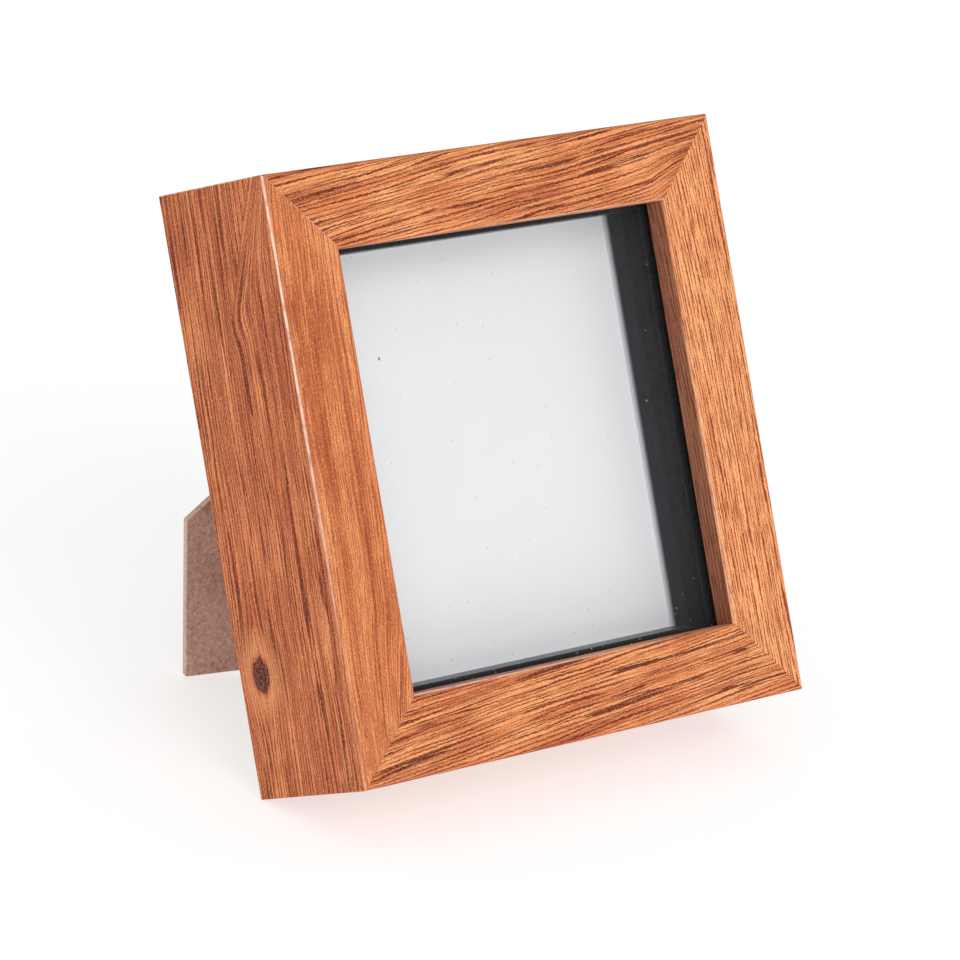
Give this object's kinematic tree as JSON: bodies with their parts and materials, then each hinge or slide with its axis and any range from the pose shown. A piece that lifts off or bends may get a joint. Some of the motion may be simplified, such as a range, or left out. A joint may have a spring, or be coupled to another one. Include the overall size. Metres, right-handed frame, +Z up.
{
  "type": "box picture frame",
  "caption": "Square deep box frame with a glazed front, black spacer walls, a blank insert and a hinged easel strut that leans it back.",
  "frame": {"origin": "middle of the footprint, on the table that the leaning frame and its open strut stand on", "axes": "+Z up, +Y from the glazed face towards the strut, +X to the viewer's right"},
  "size_m": [0.134, 0.0974, 0.1356],
  "materials": {
    "foil": "satin printed wood-effect foil",
    "board": "raw fibreboard",
    "nail_steel": "plain steel",
    "glass": "clear polished",
    "spacer": "satin black film over board",
    "card": "matt white mount board",
    "hardboard": "fine speckled fibre",
    "tab_steel": "bright zinc",
    "hinge_steel": "bright zinc",
    "rivet_steel": "bright zinc"
  },
  "bodies": {
    "case": {"left_stile": "board", "right_stile": "board", "top_rail": "board", "bottom_rail": "board", "left_foil": "foil", "right_foil": "foil", "top_foil": "foil", "bottom_foil": "foil", "corner_v_nails": "nail_steel", "glass_pane": "glass", "spacer_left": "spacer", "spacer_right": "spacer", "spacer_top": "spacer", "spacer_bottom": "spacer", "insert_card": "card", "back_panel": "hardboard", "tab_roots": "tab_steel", "hinge_fixed_leaf": "hinge_steel", "hinge_pin": "hinge_steel", "hinge_panel_rivets": "rivet_steel", "hanger_rivet": "rivet_steel", "hanger_strap": "hinge_steel"},
    "strut": {"strut_leg": "hardboard", "hinge_moving_leaf": "hinge_steel", "hinge_strut_rivets": "rivet_steel"},
    "tab_left": {"tab_left": "tab_steel"},
    "tab_right": {"tab_right": "tab_steel"},
    "tab_top": {"tab_top": "tab_steel"},
    "tab_bottom": {"tab_bottom": "tab_steel"},
    "hanger": {"hanger_ring": "hinge_steel"}
  },
  "joints": [
    {"name": "strut_hinge", "type": "hinge", "parent": "case", "child": "strut", "pos_m": [0.04042, 0.02299, 0.10018], "axis": [-0.7071, 0.3158, 0.6326], "range_deg": [0, 29]},
    {"name": "tab_left_bend", "type": "hinge", "parent": "case", "child": "tab_left", "pos_m": [-0.05173, 0.01282, 0.08243], "axis": [0, 0.4467, 0.8947], "range_deg": [0, 80]},
    {"name": "tab_right_bend", "type": "hinge", "parent": "case", "child": "tab_right", "pos_m": [0.05173, -0.00505, 0.04664], "axis": [0, -0.4467, -0.8947], "range_deg": [0, 80]},
    {"name": "tab_top_bend", "type": "hinge", "parent": "case", "child": "tab_top", "pos_m": [-0.02, 0.02699, 0.11081], "axis": [1, 0, 0], "range_deg": [0, 80]},
    {"name": "tab_bottom_bend", "type": "hinge", "parent": "case", "child": "tab_bottom", "pos_m": [0.02, -0.01922, 0.01826], "axis": [-1, 0, 0], "range_deg": [0, 80]},
    {"name": "hanger_swing", "type": "hinge", "parent": "case", "child": "hanger", "pos_m": [0, 0.02298, 0.10139], "axis": [1, 0, 0], "range_deg": [-22, 150]}
  ]
}
